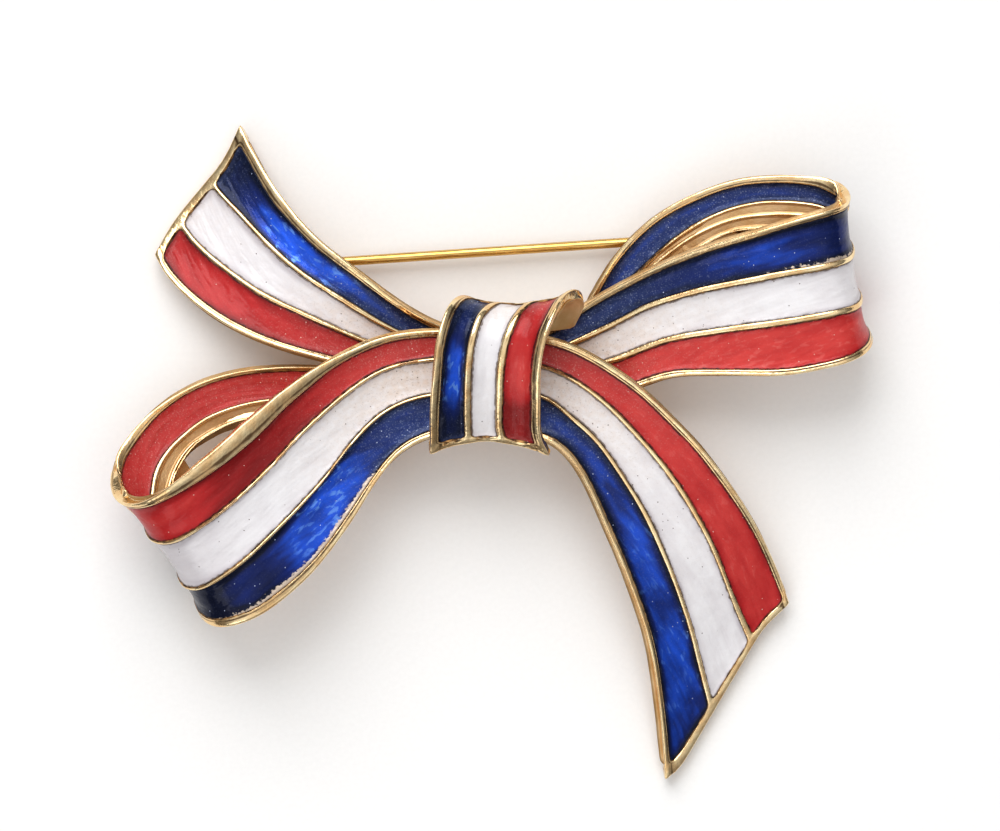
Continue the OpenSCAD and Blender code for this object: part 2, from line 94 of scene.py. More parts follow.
leftStrip = [
    [-0.474, -0.062, 0.579, -0.440, -0.112, 0.529, 0.80],
    [-0.483, -0.041, 0.514, -0.430, -0.077, 0.443, 0.80],
    [-0.482, -0.017, 0.457, -0.426, -0.038, 0.379, 0.80],
    [-0.472, 0.007, 0.407, -0.410, -0.002, 0.336, 0.80],
    [-0.460, 0.027, 0.379, -0.385, 0.026, 0.314, 0.80],
    [-0.439, 0.059, 0.364, -0.351, 0.050, 0.300, 0.80],
    [-0.398, 0.095, 0.343, -0.309, 0.064, 0.286, 0.80],
    [-0.343, 0.120, 0.314, -0.273, 0.068, 0.271, 0.80],
    [-0.282, 0.130, 0.286, -0.230, 0.068, 0.257, 0.80],
    [-0.217, 0.130, 0.257, -0.182, 0.061, 0.250, 0.80],
    [-0.145, 0.120, 0.250, -0.119, 0.048, 0.250, 0.80],
    [-0.067, 0.106, 0.257, -0.067, 0.038, 0.257, 0.80],
    [-0.015, 0.097, 0.257, -0.018, 0.033, 0.257, 0.80]]
rightStrip = [
    [0.450, 0.374, 0.540, 0.458, 0.330, 0.470, 0.60],
    [0.453, 0.388, 0.486, 0.443, 0.345, 0.405, 0.60],
    [0.447, 0.400, 0.443, 0.419, 0.353, 0.379, 0.60],
    [0.429, 0.410, 0.404, 0.390, 0.356, 0.350, 0.60],
    [0.399, 0.415, 0.382, 0.355, 0.356, 0.336, 0.60],
    [0.367, 0.418, 0.368, 0.324, 0.352, 0.314, 0.62],
    [0.321, 0.414, 0.343, 0.292, 0.339, 0.296, 0.66],
    [0.274, 0.397, 0.314, 0.262, 0.321, 0.279, 0.70],
    [0.230, 0.373, 0.286, 0.232, 0.297, 0.261, 0.74],
    [0.191, 0.338, 0.261, 0.204, 0.268, 0.243, 0.78],
    [0.157, 0.292, 0.243, 0.170, 0.233, 0.229, 0.80],
    [0.126, 0.230, 0.236, 0.141, 0.185, 0.229, 0.80],
    [0.087, 0.176, 0.243, 0.109, 0.136, 0.243, 0.80],
    [0.031, 0.152, 0.257, 0.044, 0.102, 0.257, 0.80]]
knot = [
    [-0.080, -0.006, 0.657, 0.076, -0.008, 0.657, 0.34, 0.63],
    [-0.080, 0.027, 0.729, 0.064, 0.023, 0.729, 0.34, 0.63],
    [-0.079, 0.076, 0.836, 0.063, 0.073, 0.836, 0.34, 0.63],
    [-0.075, 0.127, 0.921, 0.064, 0.124, 0.921, 0.33, 0.63],
    [-0.070, 0.176, 0.950, 0.071, 0.173, 0.964, 0.33, 0.63],
    [-0.059, 0.217, 0.879, 0.085, 0.215, 0.914, 0.32, 0.63],
    [-0.046, 0.236, 0.757, 0.098, 0.241, 0.800, 0.32, 0.63],
    [-0.032, 0.236, 0.629, 0.114, 0.247, 0.671, 0.32, 0.63],
    [-0.019, 0.218, 0.529, 0.119, 0.230, 0.557, 0.32, 0.63],
    [-0.007, 0.188, 0.471, 0.105, 0.197, 0.486, 0.32, 0.63]]

# How far an end's outline leaves the straight line between its tips, as shares of the ribbon's width.
straightEnd = [[0, 0], [1, 0]]
rightEnd = [[0, 0], [0.2, -0.042], [0.4, -0.006], [0.6, 0.022], [0.75, 0.045], [0.87, 0.058], [0.95, 0.05], [1, 0]]
leftEnd = [[0, 0], [0.2, -0.03], [0.33, -0.022], [0.5, 0.006], [0.7, 0.03], [0.85, 0.03], [1, 0]]
knotEnd = [[0, 0], [0.15, -0.05], [0.5, -0.095], [0.85, -0.045], [1, 0]]

# A list of pairs gives a value at each row that it names, and changes evenly between them.
# In mm: "thick"; "cup", how far the middle is hollow; "deep" and "bare", the depth of cells with and without enamel;
# the widths "rimA", "rimB" and "divider"; "outer" and "widen", how far edges a and b stand past their rows;
# "fold", a last divider's distance from edge b; "fade", how far the tip's outline "end" reaches; and "smooth".
# By row: "start" and "cells". Dust runs from 0 to 1, and so does the pale edge of bare crumbs with a painted
# highlight on their meniscus; glow, painted highlight and painted shade, runs from about -0.4, dark, to 1, bright.
# "side" is the way that the front faces, and "seed" the ribbon's own lot of unevenness.
ribbons = {
    "frontRibbon": {
        "rows": rightTail + leftLoop, "side": 1, "thick": 1.05, "cup": 0.35, "deep": 0.5,
        "divider": [[0, 0.55], [2, 0.42], [5, 0.36], [8, 0.3], [22, 0.3]],
        "rimA": [[0, 0.55], [10.5, 0.6], [12, 1.3], [13, 1.75], [14, 1.35], [15, 0.8], [16, 0.6], [22, 0.55]],
        "outer": [[10.5, 0], [12, 0.5], [13, 0.9], [14, 0.5], [15, 0.15], [16, 0], [22, 0]],
        "rimB": [[0, 0.85], [1, 0.7], [3, 0.55], [11, 0.6], [13, 0.8], [18, 0.8], [22, 0.6]],
        "cells": [[0, 7.34], [8.66, 22]], "end": rightEnd, "fade": 9, "seed": 1.5, "smooth": 0.7,
        "dust": [[0, 0.05], [4, 0.15], [6, 0.6], [7.3, 1], [8.6, 1], [10, 0.7], [11.5, 0.3], [13, 0.05], [17, 0.1],
                 [22, 0.2]],
        "glow": {"red": [[0, 0.4], [3, 0.6], [5.5, 0.6], [7, 0.3], [9, 0.3], [10.5, 0.55], [12, 0], [13, -0.2],
                         [13.8, 0], [14.5, 0.35], [16, 0.3], [18, 0.1], [22, 0]],
                 "white": [[0, 0.6], [12, 0.8], [14, 0.5], [15.5, 0.1], [17, -0.15], [22, -0.15]],
                 "blue": [[0, 0.3], [1.2, 0.5], [3, 0.5], [5, 0.35], [7, 0.1], [9, 0.1], [10.5, 0.2], [11.3, 0.45],
                          [12.2, 0.85], [12.9, 0.6], [13.7, 0], [14.3, 0.12], [15.2, -0.3], [22, -0.35]]},
        "crumbsAndPaintedSheen": {"blue": [[0, 0], [10.6, 0], [11.3, 1], [13.5, 1], [15, 0.5], [17, 0.3], [18.5, 0], [22, 0]]}},
    "backRibbon": {
        "rows": leftTail + rightLoop, "side": -1, "thick": 1.05, "cup": 0.35, "deep": 0.5,
        "divider": [[0, 0.4], [8, 0.42], [12, 0.5], [21, 0.42]],
        "rimA": [[0, 0.95], [2, 0.9], [4, 0.65], [6, 0.55], [21, 0.55]],
        "rimB": [[0, 0.6], [14, 0.55], [17, 0.7], [21, 0.6]],
        "cells": [[0, 6.34], [7.66, 21]], "end": leftEnd, "fade": 7, "seed": 9.1, "smooth": 0.7,
        "dust": [[0, 0.4], [1, 0.2], [3, 0.1], [5, 0.7], [6.3, 1], [7.6, 1], [9, 0.8], [10.5, 0.3], [12, 0.1],
                 [15, 0.1], [21, 0.3]],
        "glow": {"red": [[0, 0.05], [2, 0.25], [4, 0.15], [6.3, 0.2], [7.6, 0.4], [10, 0.7], [13, 0.8], [16, 0.4],
                         [21, 0.1]],
                 "white": [[0, 0.3], [6, 0.4], [9, 0.6], [12, 0.7], [15, 0.3], [21, 0]],
                 "blue": [[0, -0.2], [1.2, -0.1], [2.5, 0.7], [3.8, 0.7], [4.6, 0.3], [6, 0.1], [9, 0], [10.5, 0.1],
                          [12, 0.4], [13.5, 0.1], [21, -0.1]]},
        "crumbsAndPaintedSheen": {"blue": [[0, 0], [9.5, 0], [12, 0.3], [14, 0.9], [16, 0.5], [18, 0], [21, 0]]}},
    "knotBand": {
        "rows": knot, "side": -1, "thick": 0.85, "cup": 0.9, "deep": 0.5, "divider": [[0, 0.55], [9, 0.55]],
        "rimA": [[0, 0.75], [9, 0.75]], "rimB": [[0, 0.75], [9, 0.75]],
        "cells": [[0, 6.8]], "end": knotEnd, "fade": 3, "seed": 4.2, "smooth": 0.4,
        "dust": [[0, 0.7], [0.8, 0.2], [4, 0.05], [5, 0.4], [6.8, 0.6]],
        "glow": {"red": [[0, -0.05], [1.7, -0.15], [2.3, 0.6], [2.8, 0.8], [3.4, 0.4], [5, 0.15], [6.8, 0.1]],
                 "white": [[0, 0.6], [2, 0.9], [6.8, 0.7]],
                 "blue": [[0, -0.2], [1.2, -0.1], [2.3, 0.8], [3.2, 0.6], [4.2, 0.1], [5.5, -0.1], [6.8, 0.1]]}},
    "leftInnerStrip": {
        "rows": leftStrip, "side": -1, "thick": 1, "cup": 0, "deep": 0.38, "divider": [[0, 0.45], [12, 0.45]],
        "rimA": [[0, 0.35], [1.2, 0.4], [2.2, 0.85], [3, 1], [4, 1], [5, 0.85], [6, 0.65], [7.5, 0.55], [12, 0.55]],
        "rimB": [[0, 0.4], [12, 0.4]],
        "cells": [[0.4, 8.9]], "end": straightEnd, "fade": 1, "seed": 6.6, "smooth": 0.6, "bare": 0.3,
        "widen": [[0, 0.5], [2, 0.8], [3.5, 0.8], [5, 1.5], [6, 2.3], [8, 2], [9.5, 1], [12, 0.3]],
        "outer": [[0, 0.2], [1.2, 0.25], [2.2, 0.7], [3, 0.8], [4, 0.8], [5, 0.5], [6, 0.15], [7.5, 0]],
        "dust": [[0, 0.6], [12, 0.7]], "glow": {"red": [[0, 0.3], [12, 0.5]]}},
    "rightInnerStrip": {
        "rows": rightStrip, "side": 1, "thick": 1, "cup": 0, "deep": 0.38, "divider": [[0, 0.3], [13, 0.3]],
        "rimA": [[0, 0.35], [1.2, 0.4], [2.2, 1.05], [3, 1.05], [4, 0.9], [6, 0.75], [9, 0.65], [13, 0.5]],
        "rimB": [[0, 0.35], [13, 0.35]],
        "cells": [[0.6, 10.9]], "end": straightEnd, "fade": 1, "seed": 2.9, "smooth": 0.6,
        "start": 0.3, "bare": 0.12, "widen": [[0, 0.9], [2, 1.3], [9, 1.3], [11, 0.7], [13, 0.6]], "fold": 0.3,
        "outer": [[0, 0.1], [1.2, 0.15], [2.2, 0.6], [3, 0.6], [4, 0.4], [5, 0.2], [6, 0.1], [8, 0]],
        "dust": [[0, 0.5], [4, 0.6], [13, 0.8]], "glow": {"blue": [[0, 0], [5, 0.2], [13, 0.3]]}},
}
print("tables of the ribbons ready")

# Samples of a ribbon's curve for each row, then in mm their even spacing and how far to look each way for its run.
sampling = {"perRow": 16, "apart": 0.25, "look": 0.4}

# The casting, in mm. Shares are places across a part, or along a corner, where faces meet.
casting = {
    "endRim": 0.8, "step": 0.5,  # the rim that closes a cell at a tip, and the stations' spacing
    "corner": 0.5, "cornerShares": (0, 0.134, 0.5, 1), "endBlur": 0.05, "endFade": 1.5,
    "cellShares": (0, 0.2, 0.4, 0.6, 0.8), "rimShares": (0, 0.3, 0.5, 0.7), "dividerShares": (0, 0.5),
    "crown": 0.06, "crownShares": [[0, -0.6], [0.3, 0.8], [0.5, 0.5], [0.7, -0.25], [1, 0]], "dividerCrown": 0.03,
    "ripple": 0.03, "rippleLength": 1.1, "dividerRipple": 0.4,  # a divider's crest wavers less, by this share
    "wanderLength": 4, "rimWander": 0.07, "dividerWander": 0.04, "placeWander": 0.08,
    "leastCell": 0.05, "least": 0.1, "narrow": 0.3,  # widths that a part keeps, and below which it isn't hollowed
    "wallLean": 0.14, "bareLean": 0.1, "roundedBy": 0.14, "sharp": 50,  # edges over 50 degrees are rounded
}


# Smooth curve through the rows of a table; u counts rows.
def between(rows, u):
    last = len(rows) - 1
    i = max(0, min(int(u), last - 1))
    f = u - i
    four = (rows[max(i - 1, 0)], rows[i], rows[i + 1], rows[min(i + 2, last)])
    return [0.5 * (2 * b + (c - a) * f + (2 * a - 5 * b + 4 * c - d) * f ** 2 + (3 * b - a - 3 * c + d) * f ** 3)
            for a, b, c, d in zip(*four)]


# The value at x in a list of pairs.
def lookUp(pairs, x):
    for (x0, y0), (x1, y1) in zip(pairs, pairs[1:]):
        if x <= x1:
            return y0 + (y1 - y0) * max(0, (x - x0) / (x1 - x0))
    return pairs[-1][1]


# Evenly spaced samples along a ribbon: edges in metres, dividers, row number.
# Averaging neighbours takes out what trembles in the rows.
def makeRail(shape):
    scale = [bow["width"], bow["height"], bow["depth"]] * 2
    rows = shape["rows"]
    raw = []
    for i in range((len(rows) - 1) * sampling["perRow"] + 1):
        place = i / sampling["perRow"]
        row = between(rows, place)
        raw.append([v * k for v, k in zip(row, scale)] + row[6:] + [place])
    middles = [(Vector(r[0:3]) + Vector(r[3:6])) / 2 for r in raw]
    lengths = [0]
    for m0, m1 in zip(middles, middles[1:]):
        lengths.append(lengths[-1] + (m1 - m0).length)
    count = round(lengths[-1] / (sampling["apart"] * mm))
    step = lengths[-1] / count
    even, k = [], 0
    for i in range(count + 1):
        while k < len(raw) - 2 and lengths[k + 1] < i * step:
            k += 1
        f = (i * step - lengths[k]) / (lengths[k + 1] - lengths[k])
        even.append([a + (b - a) * f for a, b in zip(raw[k], raw[k + 1])])
    for _ in range(round(2 * (shape["smooth"] / sampling["apart"]) ** 2)):
        even = [even[0]] + [[(a + 2 * b + c) / 4 for a, b, c in zip(*even[i - 1:i + 2])]
                            for i in range(1, count)] + [even[-1]]
    return {"samples": even, "step": step, "length": step * count}


# s is a length along the ribbon in metres.
def sampleAt(rail, s):
    t = max(0, min(s, rail["length"])) / rail["step"]
    i = min(int(t), len(rail["samples"]) - 2)
    return [a + (b - a) * (t - i) for a, b in zip(rail["samples"][i], rail["samples"][i + 1])]


def lengthAtRow(rail, row):
    return next((i * rail["step"] for i, s in enumerate(rail["samples"]) if s[-1] >= row - 1e-4), rail["length"])


# All that is known of the ribbon at s: where it is, which way it runs and faces, and where its parts begin.
def stationAt(shape, rail, s):
    look = sampling["look"] * mm
    here, ahead, behind = sampleAt(rail, s), sampleAt(rail, s + look), sampleAt(rail, s - look)
    run = sum((Vector(ahead[i:i + 3]) - Vector(behind[i:i + 3]) for i in (0, 3)), Vector()).normalized()
    span = Vector(here[3:6]) - Vector(here[0:3])
    more, outer = [lookUp(shape.get(key, [[0, 0], [1, 0]]), here[-1]) * mm for key in ("widen", "outer")]
    a = Vector(here[0:3]) - span.normalized() * outer
    width = span.length + more + outer
    centres = [share * span.length + outer for share in here[6:-1]]
    if "fold" in shape:
        centres.append(span.length + outer - shape["fold"] * mm)
    station = {"s": s, "row": here[-1], "a": a, "across": span.normalized(), "width": width, "run": run,
               "out": run.cross(span).normalized() * shape["side"], "centres": centres}
    station["marks"] = marksAt(shape, station, cornerAt(shape, rail, s))
    return station


# A cell's corners are rounded, so near its ends its sides draw in.
def cornerAt(shape, rail, s):
    radius = casting["corner"] * mm
    inside = max(min(s - s0, s1 - s) for s0, s1 in cellEnds(shape, rail))
    reach = radius - max(0, min(inside, radius))
    return radius - math.sqrt(radius ** 2 - reach ** 2)


# Where rims, cells and dividers begin and end across a station; their widths wander a little, as cast ones do.
def marksAt(shape, station, corner):
    def wander(k, size):  # k picks a lane of the noise, so that each width wanders by itself
        spot = Vector((station["s"] / (casting["wanderLength"] * mm), 3.7 * k, shape["seed"]))
        return noise.noise(spot) * casting[size] * mm
    width, row = station["width"], station["row"]
    marks = [0, lookUp(shape["rimA"], row) * mm + wander(0, "rimWander") + corner]
    for k, place in enumerate(station["centres"]):
        half = lookUp(shape["divider"], row) / 2 * mm + wander(5 + k, "dividerWander") + corner
        centre = place + wander(1 + k, "placeWander")
        marks += [max(marks[-1] + casting["leastCell"] * mm, centre - half), centre + half]
    least = casting["least"] * mm
    rimStart = width - lookUp(shape["rimB"], row) * mm - wander(9, "rimWander") - corner
    marks.append(max(marks[-1] + least, rimStart))
    tight = min(1, (width - least) / marks[-1])
    return [m * tight for m in marks] + [width]


# Start and end of a ribbon's cells along it; a cell that begins at a tip leaves a closed rim there.
def cellEnds(shape, rail):
    if "ends" not in rail:
        rail["ends"] = []
        for row0, row1 in shape["cells"]:
            s0, s1 = lengthAtRow(rail, row0), lengthAtRow(rail, row1)
            if row0 == 0:
                s0 += casting["endRim"] * mm
            if row1 >= len(shape["rows"]) - 1:
                s1 -= casting["endRim"] * mm
            rail["ends"].append((s0, s1))
    return rail["ends"]


# v counts the parts across a station: 0 to 1 is the rim, 1 to 2 the first cell, and so on.
def acrossAt(station, v):
    i = min(int(v), len(station["marks"]) - 2)
    return station["marks"][i] + (station["marks"][i + 1] - station["marks"][i]) * (v - i)


# The point x across a station and so high above it, with the ribbon's hollow and the outline of its tip.
def placeAt(shape, station, x, height):
    u, blur = x / station["width"], casting["endBlur"]
    weight = max(0, 1 - station["s"] / (shape["fade"] * mm)) ** casting["endFade"]
    shift = sum(lookUp(shape["end"], u + d) for d in (-blur, 0, blur)) / 3 * weight * station["width"]
    lift = height - 4 * shape["cup"] * mm * u * (1 - u)
    return station["a"] + station["across"] * x + station["out"] * lift - station["run"] * shift


# Even places between the stops, about a step apart, with every stop among them.
def spread(stops, step):
    places = [stops[0]]
    for s0, s1 in zip(stops, stops[1:]):
        count = max(1, round((s1 - s0) / step))
        places += [s0 + (s1 - s0) * (i + 1) / count for i in range(count)]
    return places


# Selects one piece alone and makes it the active one.
def choose(piece):
    bpy.ops.object.select_all(action="DESELECT")
    piece.select_set(True)
    bpy.context.view_layer.objects.active = piece


# Names the object that an operator has just added.
def justAdded(name):
    piece = bpy.context.active_object
    piece.name = piece.data.name = name
    return piece


# A grid primitive laid along a ribbon, one column for each place across and one row for each station.
def layGrid(name, shape, stations, columns):
    bpy.ops.object.select_all(action="DESELECT")
    bpy.ops.mesh.primitive_grid_add(x_subdivisions=len(columns) - 1, y_subdivisions=len(stations) - 1, size=1)
    piece = justAdded(name)
    places = []
    for station in stations:
        for column in columns:
            x, height = column(station)
            places.append((x, station["s"]))
            piece.data.vertices[len(places) - 1].co = placeAt(shape, station, x, height)
    for loop, corner in zip(piece.data.loops, piece.data.uv_layers.active.data):
        corner.uv = [c / mm for c in places[loop.vertex_index]]
    piece.data.update()
    # turned over where its faces look to the back
    middle = len(stations) // 2 * (len(columns) - 1)
    if piece.data.polygons[middle].normal.dot(stations[len(stations) // 2]["out"]) < 0:
        bpy.ops.object.mode_set(mode="EDIT")
        bpy.ops.mesh.select_all(action="SELECT")
        bpy.ops.mesh.flip_normals()
        bpy.ops.object.mode_set(mode="OBJECT")
    return piece


def applied(piece, kind, **settings):
    choose(piece)
    bpy.ops.object.modifier_add(type=kind)
    for name, value in settings.items():
        setattr(piece.modifiers[-1], name, value)
    bpy.ops.object.modifier_apply(modifier=piece.modifiers[-1].name)


# Leaves the piece in edit mode with the faces selected that the test picks.
def pickFaces(piece, test):
    choose(piece)
    bpy.ops.object.mode_set(mode="EDIT")
    bpy.ops.mesh.select_mode(type="FACE")
    bpy.ops.mesh.select_all(action="DESELECT")
    bpy.ops.object.mode_set(mode="OBJECT")
    for face in piece.data.polygons:
        face.select = bool(test(face))
    bpy.ops.object.mode_set(mode="EDIT")


def roundSharpEdges(width, angle):
    bpy.ops.mesh.select_all(action="DESELECT")
    bpy.ops.mesh.select_mode(type="EDGE")
    bpy.ops.mesh.edges_select_sharp(sharpness=math.radians(angle))
    bpy.ops.mesh.bevel(offset=width * mm, offset_type="ABSOLUTE", segments=3, affect="EDGES")
    bpy.ops.object.mode_set(mode="OBJECT")


# Gives a piece smooth shading and its materials, hides its CAD nodes, and puts it under its body.
def finished(piece, body, slot, nodes, *materials):
    choose(piece)
    bpy.ops.object.shade_smooth()
    for material in materials:
        piece.data.materials.append(material)
    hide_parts(*nodes)
    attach(piece, body)
    return piece


# An sRGB hex colour as the linear one that Blender's sockets take.
def linear(hexColour):
    parts = [int(hexColour[i:i + 2], 16) / 255 for i in (1, 3, 5)]
    return [p / 12.92 if p <= 0.04045 else ((p + 0.055) / 1.055) ** 2.4 for p in parts] + [1]


def newMaterial(name):
    material = bpy.data.materials.new(name)
    material.use_nodes = True
    material.node_tree.nodes.clear()
    return material, material.node_tree


# Adds a node with its settings; inputs are values or sockets to link, stops are a ramp's places and colours.
def addNode(tree, kind, inputs=None, stops=None, **settings):
    node = tree.nodes.new(kind)
    for name, value in settings.items():
        setattr(node, name, value)
    for name, value in (inputs or {}).items():
        if isinstance(value, bpy.types.NodeSocket):
            tree.links.new(value, node.inputs[name])
        else:
            node.inputs[name].default_value = value
    for i, (place, colour) in enumerate(stops or []):
        stop = node.color_ramp.elements[i] if i < 2 else node.color_ramp.elements.new(place)
        stop.position, stop.color = place, colour
    return node


# A pattern has its size and then the depth of its relief, in mm.
# "groove" is the brown of tarnish and of painted shade in the rims' grooves.
plateFinish = {"light": "#fce3b2", "deep": "#e8bf88", "groove": "#5a3a1f", "dents": (1.6, 0.05),
               "hammering": (0.5, 0.03), "grain": (0.22, 0.006), "smoothest": 0.06, "roughest": 0.3}


# Gold plate on polished brass: warm and bright, with shallow dents, fine scratches, browner spots and
# brown lines in the grooves, tarnish together with painted shade.
def makeGoldPlate():
    material, tree = newMaterial("gold plate, polished")
    here = addNode(tree, "ShaderNodeTexCoord").outputs["Object"]
    groove = addNode(tree, "ShaderNodeAttribute", attribute_name="groove").outputs["Fac"]
    crinkle, broad, fine = [
        addNode(tree, "ShaderNodeTexNoise", {
            "Vector": here, "Scale": 1 / (plateFinish[key][0] * mm), "Detail": detail}).outputs["Fac"]
        for key, detail in (("hammering", 2), ("dents", 3), ("grain", 4))]
    colour = addNode(tree, "ShaderNodeValToRGB", {"Fac": broad}, [
        (0.35, linear(plateFinish["deep"])), (0.62, linear(plateFinish["light"]))]).outputs["Color"]
    # tarnish and painted shade: brown in most of a groove, and nowhere else but where the broad noise is highest
    grooveTarnishAndShadeLevel = addNode(tree, "ShaderNodeMath", {0: broad, 1: 1.6, 2: groove}, operation="MULTIPLY_ADD").outputs[0]
    grooveTarnishAndShade = addNode(tree, "ShaderNodeMapRange", {
        "Value": grooveTarnishAndShadeLevel, "From Min": 1.25, "From Max": 1.7, "To Max": 0.9}).outputs["Result"]
    tarnishedAndShaded = addNode(tree, "ShaderNodeMix", {
        0: grooveTarnishAndShade, 6: colour, 7: linear(plateFinish["groove"])}, data_type="RGBA").outputs[2]
    rough = addNode(tree, "ShaderNodeMapRange", {
        "Value": fine, "To Min": plateFinish["smoothest"], "To Max": plateFinish["roughest"]}).outputs["Result"]
    relief = {}
    for key, height in (("hammering", crinkle), ("dents", broad), ("grain", fine)):
        bump = addNode(tree, "ShaderNodeBump", {
            "Height": height, "Distance": plateFinish[key][1] * mm, "Strength": 1, **relief})
        relief = {"Normal": bump.outputs["Normal"]}
    shader = addNode(tree, "ShaderNodeBsdfPrincipled", {
        "Base Color": tarnishedAndShaded, "Metallic": 1, "Roughness": rough, **relief})
    addNode(tree, "ShaderNodeOutputMaterial", {"Surface": shader.outputs["BSDF"]})
    return material


# "blend" is where the two colours lie on the noise, "patches" and "grain" a size in mm and the noise's detail, and
# "depth" the grain's relief in mm. "stretch" below 1 draws both out along x.
dullGolds = {
    # Tarnish and old polish that sit in the grooves beside the enamel, with painted shade in them: dull and brown,
    # thicker in places.
    "recess": {"name": "gold plate, tarnish and painted shade on the cell walls", "deep": "#3c2410", "light": "#b5854d",
               "blend": (0.42, 0.66), "patches": (0.6, 4), "grain": (0.6, 4), "depth": 0.03,
               "stretch": 1, "metallic": 0.7, "roughness": 0.5},
    # Plated casting as it left the sand on the back and inside the curl: satin, grainy, a little browner.
    "cast": {"name": "gold plate, cast skin", "deep": "#cfa26a", "light": "#e8c493",
             "blend": (0.35, 0.65), "patches": (2.2, 4), "grain": (0.16, 3), "depth": 0.03,
             "stretch": 1, "metallic": 0.8, "roughness": 0.45},
    # Drawn brass wire, gilt: it shines between fine lines that the draw plate left along it.
    "wire": {"name": "gilt brass wire, drawn", "deep": "#cf9f4e", "light": "#efc478",
             "blend": (0.3, 0.7), "patches": (0.12, 3), "grain": (0.12, 3), "depth": 0.004,
             "stretch": 0.06, "metallic": 1, "roughness": 0.2},
}


def makeDullGold(finish):
    material, tree = newMaterial(finish["name"])
    here = addNode(tree, "ShaderNodeTexCoord").outputs["Object"]
    drawn = addNode(tree, "ShaderNodeMapping", {
        "Vector": here, "Scale": (finish["stretch"], 1, 1)}).outputs["Vector"]
    patches, grain = [
        addNode(tree, "ShaderNodeTexNoise", {
            "Vector": drawn, "Scale": 1 / (size * mm), "Detail": detail}).outputs["Fac"]
        for size, detail in (finish["patches"], finish["grain"])]
    colours = [linear(finish["deep"]), linear(finish["light"])]
    colour = addNode(tree, "ShaderNodeValToRGB", {"Fac": patches}, list(zip(finish["blend"], colours)))
    relief = addNode(tree, "ShaderNodeBump", {"Height": grain, "Distance": finish["depth"] * mm, "Strength": 1})
    shader = addNode(tree, "ShaderNodeBsdfPrincipled", {
        "Base Color": colour.outputs["Color"], "Metallic": finish["metallic"], "Roughness": finish["roughness"],
        "Normal": relief.outputs["Normal"]})
    addNode(tree, "ShaderNodeOutputMaterial", {"Surface": shader.outputs["BSDF"]})
    return material


# Colours: "body" is the enamel's own, "deep" its painted shaded copy and "bright" its painted lit copy, "glint" a
# painted glint; and how strongly the painted glints, the painted shade at the walls and the gloss show.
enamelLooks = {
    "red": {"deep": "#7c0408", "body": "#b81d20", "bright": "#d63c38", "dust": "#c04b47", "speck": "#efb9ae",
            "glint": "#ef8078", "glints": 0.3, "edge": "#2c0607", "shade": 0.4, "metallic": 0.1, "roughness": 0.35,
            "specular": 0.12, "coat": 0.25, "coatRoughness": 0.12},
    "white": {"deep": "#c4bec4", "body": "#e6e2e6", "bright": "#f6f4f7", "dust": "#dec8b6", "speck": "#6a5b52",
              "glint": "#fdfcff", "glints": 0.3, "edge": "#5f4e40", "shade": 0.75, "metallic": 0, "roughness": 0.35,
              "specular": 0.4, "coat": 0.6, "coatRoughness": 0.2},
    "blue": {"deep": "#01051f", "body": "#081f68", "bright": "#1f5cf0", "dust": "#39497a", "speck": "#b9c6ea",
             "glint": "#6ba2ff", "glints": 0.9, "edge": "#04071c", "shade": 0.75, "metallic": 0.55, "roughness": 0.3,
             "specular": 0.1, "coat": 0.24, "coatRoughness": 0.06},
}
# What the three share: sizes and depths in mm, and waves to the mm across and along a stripe.
enamelBody = {"clouds": 2.4, "curds": 0.5, "grit": 0.13, "bubbles": 0.42, "crumbs": 0.3, "crumbAndSheenColour": "#dcc8b4",
              "flow": (1.1, 0.22, 1), "glintRun": (2.6, 0.9, 1), "lumpDepth": 0.14, "flowDepth": 0.1,
              "skinDepth": 0.014, "pitDepth": 0.02, "dustyRoughness": 0.55}
